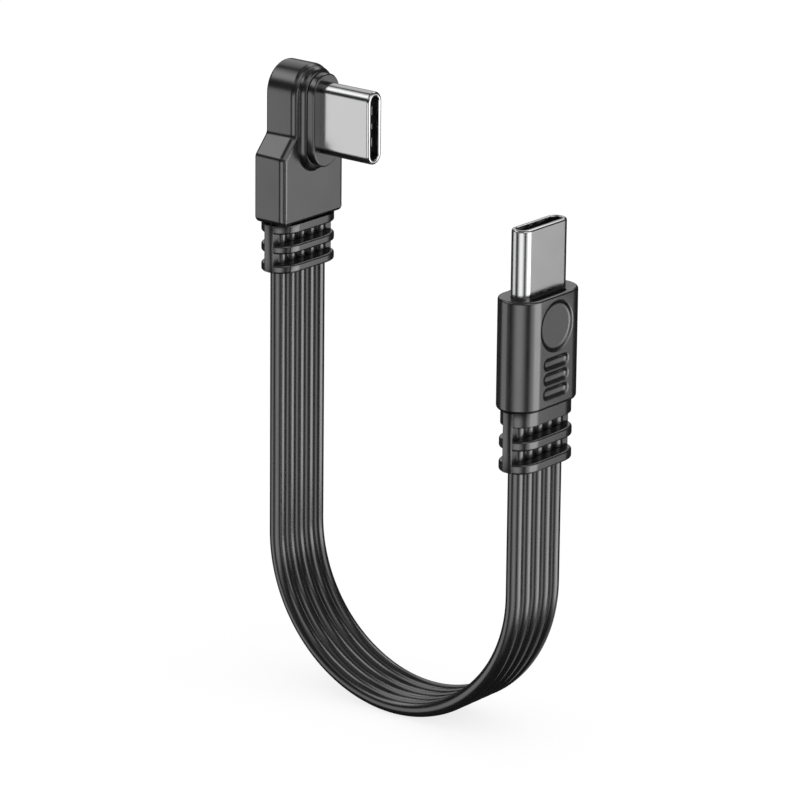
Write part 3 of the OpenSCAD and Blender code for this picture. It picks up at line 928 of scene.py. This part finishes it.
class CABLE_OT_reliefs(bpy.types.Operator):
    """Make both ringed strain reliefs"""

    bl_idname = "cable.reliefs"
    bl_label = "Strain reliefs"

    def execute(self, context):
        r = settings("relief")
        for side, box, top, ring, window, count in (
            ("angled", ANGLED_RELIEF, BLOCK[0].z, r.angled_ring, r.angled_window, 3),
            ("straight", STRAIGHT_RELIEF, HOUSING[0].z, r.straight_ring, r.straight_window, 2),
        ):
            bottom = box[0].z
            pitch = ring + window
            rings = [(bottom + i * pitch, bottom + i * pitch + ring) for i in range(count)]
            neck = (top - r.neck, top) if count == 2 else None
            relief(side, (box[0].x + box[1].x) / 2, rings, neck, box[1].z)
        return {"FINISHED"}


class CABLE_OT_shells(bpy.types.Operator):
    """Make both plated plug shells with their rounded lips"""

    bl_idname = "cable.shells"
    bl_label = "Plug shells"

    def execute(self, context):
        s = settings("shells")

        def tube(foot, mouth):
            """The shell's (place, inset) pairs: up its outside, over the lip and back down its inside."""
            inner = 0.3 * s.lip
            steps = rounded_ends(foot, mouth, 0.0, s.lip)
            steps += [(mouth, s.lip_in - inner), (mouth - inner, s.lip_in), (mouth - s.lip_thick, s.lip_in)]
            return steps + [(mouth - 1.5 * s.lip_thick, s.wall), (foot, s.wall)]

        low, high = STRAIGHT_SHELL
        outline = stadium(high.y - low.y, high.x - low.x)
        for side, profile, place in (
            ("angled", tube(ANGLED_SHELL[0].x, ANGLED_SHELL[1].x + s.angled_reach), along_x()),
            ("straight", tube(low.z, high.z + s.straight_reach), upright((low.x + high.x) / 2)),
        ):
            shell = lofted(side + "_shell_tube", outline, profile, place, loop=True)
            fit(shell, side + "_end", side + "_shell", "shell_steel", finish_name="plated steel")
        return {"FINISHED"}


class CABLE_OT_inner_parts(bpy.types.Operator):
    """Dress the contacts, carriers, springs, boards, chips and solder joints"""

    bl_idname = "cable.inner_parts"
    bl_label = "Contacts and boards"

    def execute(self, context):
        finishes = {
            "carrier": ("carrier plastic", "carrier_plastic"),
            "contacts": ("contact gold", "contact_gold"),
            "angled_latch_plate": ("spring steel", "spring_steel"),
            "angled_ground_springs": ("spring steel", "spring_steel"),
            "straight_latch_plate": ("spring steel across", "spring_steel"),
            "straight_ground_springs": ("spring steel across", "spring_steel"),
            "board": ("solder mask", "board_laminate"),
            "chip": ("chip resin", "chip_resin"),
            "solder": ("solder tin", "solder_tin"),
        }
        for name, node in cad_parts.items():
            for word, (material, slot) in finishes.items():
                if word in name:
                    give(node, material, slot)
        return {"FINISHED"}


# ---- studio ----

# soft boxes in the reflections: azimuth, half width, lowest and highest elevation in degrees, brightness
# and soft edge in degrees
SOFT_BOXES = [
    (-139, 19.5, -32, 4, 1.24, 5),
    (-63.7, 24, -32, -3, 1.85, 17.5),
    (4, 13, -32, -3, 1.65, 11),
    (28.6, 17.3, -32, -3, 2.9, 4),
    (17, 20, -3, 22, 1.5, 8),
    (45, 13, -26, -3, 0.6, 6),
    (-148, 32, 33, 51, 2.1, 6),
    (-72, 42, 33, 51, 0.5, 6),
    (-12, 20, 22, 58, 1.4, 8),
    (88, 26, 35, 60, 2, 8),
    (140, 22, 12, 50, 0.85, 6),
    (0, 200, 68, 95, 0.2, 6),
]


def soft_box(t, azimuth, elevation, middle, half, low, high, bright, edge):
    """One box's brightness in a direction."""
    away = t.math("ABSOLUTE", t.math("WRAP", t.math("SUBTRACT", azimuth, middle), 180.0, -180.0))
    beside = t.between(away, half - edge, half + edge, 1.0, 0.0, "SMOOTHSTEP")
    tall = min(edge, 5.0)
    over = t.between(elevation, low - tall, low + tall, 0.0, 1.0, "SMOOTHSTEP")
    under = t.between(elevation, high - tall, high + tall, 1.0, 0.0, "SMOOTHSTEP")
    return t.math("MULTIPLY", t.math("MULTIPLY", beside, t.math("MULTIPLY", over, under)), bright)


def make_world(studio):
    """Even white light, a little stronger from the front, with soft boxes that only reflections see."""
    world = bpy.data.worlds.new("studio")
    bpy.context.scene.world = world
    world.use_nodes = True
    t = Tree(world.node_tree)
    way = t.add("ShaderNodeTexCoord").outputs["Generated"]
    split = t.add("ShaderNodeSeparateXYZ", {0: way}).outputs
    azimuth = t.math("DEGREES", t.math("ARCTAN2", split[1], split[0]))
    elevation = t.math("DEGREES", t.math("ARCSINE", split[2]))
    total = None
    for box in SOFT_BOXES:
        lit = soft_box(t, azimuth, elevation, *box)
        total = lit if total is None else t.math("ADD", total, lit)
    total = t.math("ADD", total, 0.03)
    front = t.between(split[0], -1.0, 1.0, 0.6 * studio.light, 1.4 * studio.light)
    even = t.add("ShaderNodeBackground", {"Color": (1, 1, 1, 1), "Strength": front})
    boxes = t.add("ShaderNodeBackground", {"Color": (1, 1, 1, 1), "Strength": total})
    glossy = t.add("ShaderNodeLightPath").outputs["Is Glossy Ray"]
    mixed = t.add("ShaderNodeMixShader", {0: glossy, 1: even.outputs[0], 2: boxes.outputs[0]})
    t.add("ShaderNodeOutputWorld", {"Surface": mixed.outputs[0]})


def reflected_card(studio, level):
    """A round pale card on the floor, seen in reflections only."""
    bm = bmesh.new()
    bmesh.ops.create_circle(bm, cap_ends=True, segments=48, radius=studio.card)
    bmesh.ops.translate(bm, verts=bm.verts, vec=(studio.card_x, studio.card_y, level))
    card = object_from("card", bm)
    card.visible_camera = card.visible_diffuse = card.visible_shadow = False
    material = bpy.data.materials.new("pale card")
    material.use_nodes = True
    t = Tree(material.node_tree)
    glow = t.first("ShaderNodeEmission", {"Color": (1, 1, 1, 1), "Strength": studio.card_glow})
    t.add("ShaderNodeOutputMaterial", {"Surface": glow})
    card.data.materials.append(material)
    return card


class CABLE_OT_stage(bpy.types.Operator):
    """Make the camera, the plain floor and the soft studio light"""

    bl_idname = "cable.stage"
    bl_label = "Studio"

    def execute(self, context):
        studio = settings("studio")
        scene = context.scene
        scene.view_settings.view_transform = "Standard"
        camera = bpy.data.cameras.new("camera")
        camera.lens = studio.lens
        camera.sensor_width = 36.0
        camera.clip_start, camera.clip_end = 0.05, 20.0
        eye = linked("camera", camera)
        eye.matrix_world = Matrix.Translation(studio.eye)
        tilt = math.pi / 2 - studio.elevation
        for angle, axis in ((studio.azimuth, "Z"), (tilt, "X"), (-studio.roll, "Z")):
            eye.matrix_world = eye.matrix_world @ Matrix.Rotation(angle, 4, axis)
        scene.camera = eye

        half = 4.0  # metres from the floor's middle to its sides
        level = CAD_BOX[0].z
        mesh = bpy.data.meshes.new("floor")
        corners = [(x * half, y * half, level) for x, y in ((-1, -1), (1, -1), (1, 1), (-1, 1))]
        mesh.from_pydata(corners, [], [(0, 1, 2, 3)])
        floor = linked("floor", mesh)
        floor.visible_glossy = floor.visible_diffuse = False
        tree, shader = new_material(
            "pale floor", Roughness=1.0, Specular_IOR_Level=0.0, Emission_Color=(1.0, 1.0, 1.0, 1.0),
            Emission_Strength=studio.glow,
        )
        tint(tree, shader, studio.floor, object_noise(tree, 6.0), 0.995, 1.005)
        mesh.materials.append(bpy.data.materials["pale floor"])
        reflected_card(studio, level)
        make_world(studio)
        return {"FINISHED"}


class CABLE_PT_panel(bpy.types.Panel):
    """Lists the cable's pieces and its studio"""

    bl_idname = "CABLE_PT_panel"
    bl_label = "Charging cable"
    bl_space_type = "VIEW_3D"
    bl_region_type = "UI"
    bl_category = "Charging cable"

    def draw(self, context):
        for operator in OPERATORS:
            self.layout.operator(operator.bl_idname)
        for name, group in GROUPS.items():
            box = self.layout.box()
            box.label(text=name)
            for prop in group.__annotations__:
                box.prop(settings(name), prop)


GROUPS = {
    "ribbon": RibbonSizes,
    "angled": AngledPlugSizes,
    "straight": StraightPlugSizes,
    "relief": ReliefSizes,
    "shells": ShellSizes,
    "finishes": Finishes,
    "studio": Studio,
}
OPERATORS = [
    CABLE_OT_stage,
    CABLE_OT_ribbon,
    CABLE_OT_wires,
    CABLE_OT_angled_housing,
    CABLE_OT_moulded_cores,
    CABLE_OT_straight_housing,
    CABLE_OT_reliefs,
    CABLE_OT_shells,
    CABLE_OT_inner_parts,
]
CLASSES = [*GROUPS.values(), *OPERATORS, CABLE_PT_panel]


def register():
    for made in CLASSES:
        bpy.utils.register_class(made)
    for name, group in GROUPS.items():
        setattr(bpy.types.Scene, "cable_" + name, PointerProperty(type=group))


def unregister():
    for name in GROUPS:
        delattr(bpy.types.Scene, "cable_" + name)
    for made in reversed(CLASSES):
        bpy.utils.unregister_class(made)


def main():
    register()
    make_materials()
    for operator in OPERATORS:
        group, name = operator.bl_idname.split(".")
        getattr(getattr(bpy.ops, group), name)()


if __name__ == "__main__":
    main()
